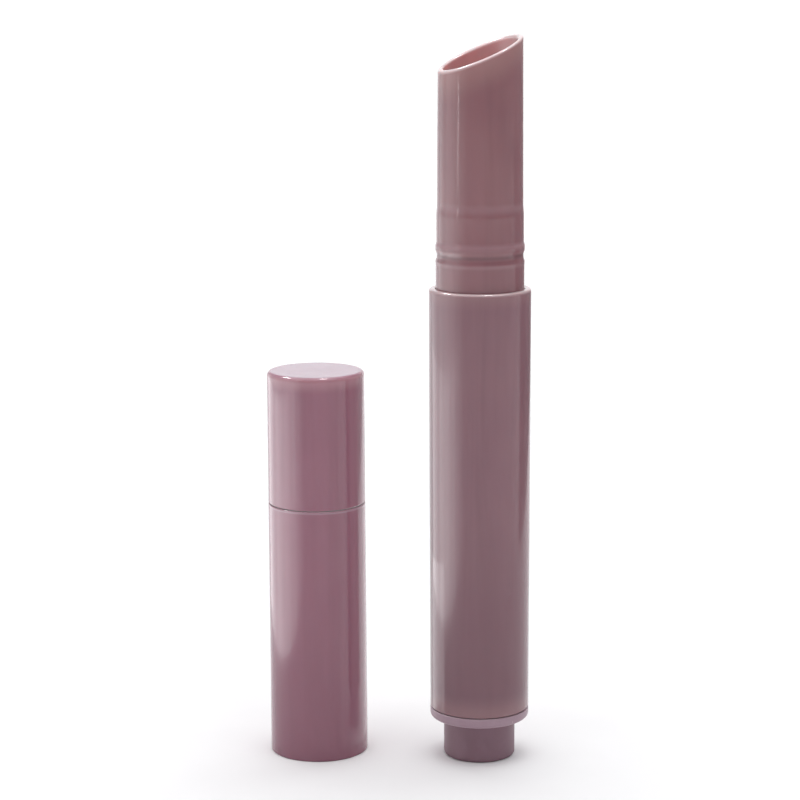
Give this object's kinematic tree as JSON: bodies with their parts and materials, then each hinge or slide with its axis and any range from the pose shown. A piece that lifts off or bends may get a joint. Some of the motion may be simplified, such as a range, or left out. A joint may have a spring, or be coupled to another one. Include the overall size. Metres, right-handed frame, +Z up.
{
  "type": "lip gloss tube",
  "caption": "Slim push-button lip gloss tube with a slanted mouth, its straight cap standing beside it on its open end.",
  "frame": {"origin": "centre of the push button's flat foot, which the tube stands on", "axes": "+Z up the tube's axis towards the mouth, the mouth's high side faces +X turned 20 degrees towards +Y, the cap stands at -X"},
  "size_m": [0.0376, 0.0164, 0.1035],
  "materials": {
    "sleeve_plastic": "gloss",
    "nozzle_plastic": "gloss",
    "cap_plastic": "gloss",
    "button_plastic": "satin",
    "mechanism_plastic": "satin",
    "spring_steel": "satin",
    "seal_rubber": "matte",
    "liner_foam": "matte"
  },
  "bodies": {
    "tube": {"outer_sleeve": "sleeve_plastic", "nozzle": "nozzle_plastic", "nozzle_o_ring": "seal_rubber", "end_ring": "button_plastic", "mechanism_case": "mechanism_plastic", "lead_nut": "mechanism_plastic", "fixed_crown": "mechanism_plastic", "drag_ring": "seal_rubber", "spring_seat": "spring_steel", "return_spring": "spring_steel"},
    "button": {"push_button": "button_plastic", "drive_cam": "mechanism_plastic"},
    "rotor": {"ratchet_rotor": "mechanism_plastic", "drive_tube": "mechanism_plastic"},
    "screw": {"lead_screw": "mechanism_plastic"},
    "piston": {"piston_core": "mechanism_plastic", "piston_seal": "liner_foam"},
    "cap": {"cap_sleeve": "cap_plastic", "cap_head": "cap_plastic", "cap_liner": "liner_foam"}
  },
  "joints": [
    {"name": "cap_lift", "type": "slide", "parent": "tube", "child": "cap", "axis": [0, 0, 1], "range_m": [0, 0.12]},
    {"name": "button_press", "type": "slide", "parent": "tube", "child": "button", "axis": [0, 0, 1], "range_m": [0, 0.0022], "stiffness_N_per_m": 500, "springref_m": -0.004, "deforming": ["return_spring"]},
    {"name": "rotor_turn", "type": "hinge", "parent": "tube", "child": "rotor", "pos_m": [0, 0, 0.0265], "axis": [0, 0, 1], "range_deg": [0, 3420]},
    {"name": "screw_feed", "type": "slide", "parent": "rotor", "child": "screw", "axis": [0, 0, 1], "range_m": [0, 0.038]},
    {"name": "piston_feed", "type": "slide", "parent": "tube", "child": "piston", "axis": [0, 0, 1], "range_m": [0, 0.038]}
  ],
  "couplings": [
    {"joint": "rotor_turn", "follows": "piston_feed", "rad_per_m": 1570.8},
    {"joint": "screw_feed", "follows": "piston_feed", "ratio": 1}
  ]
}
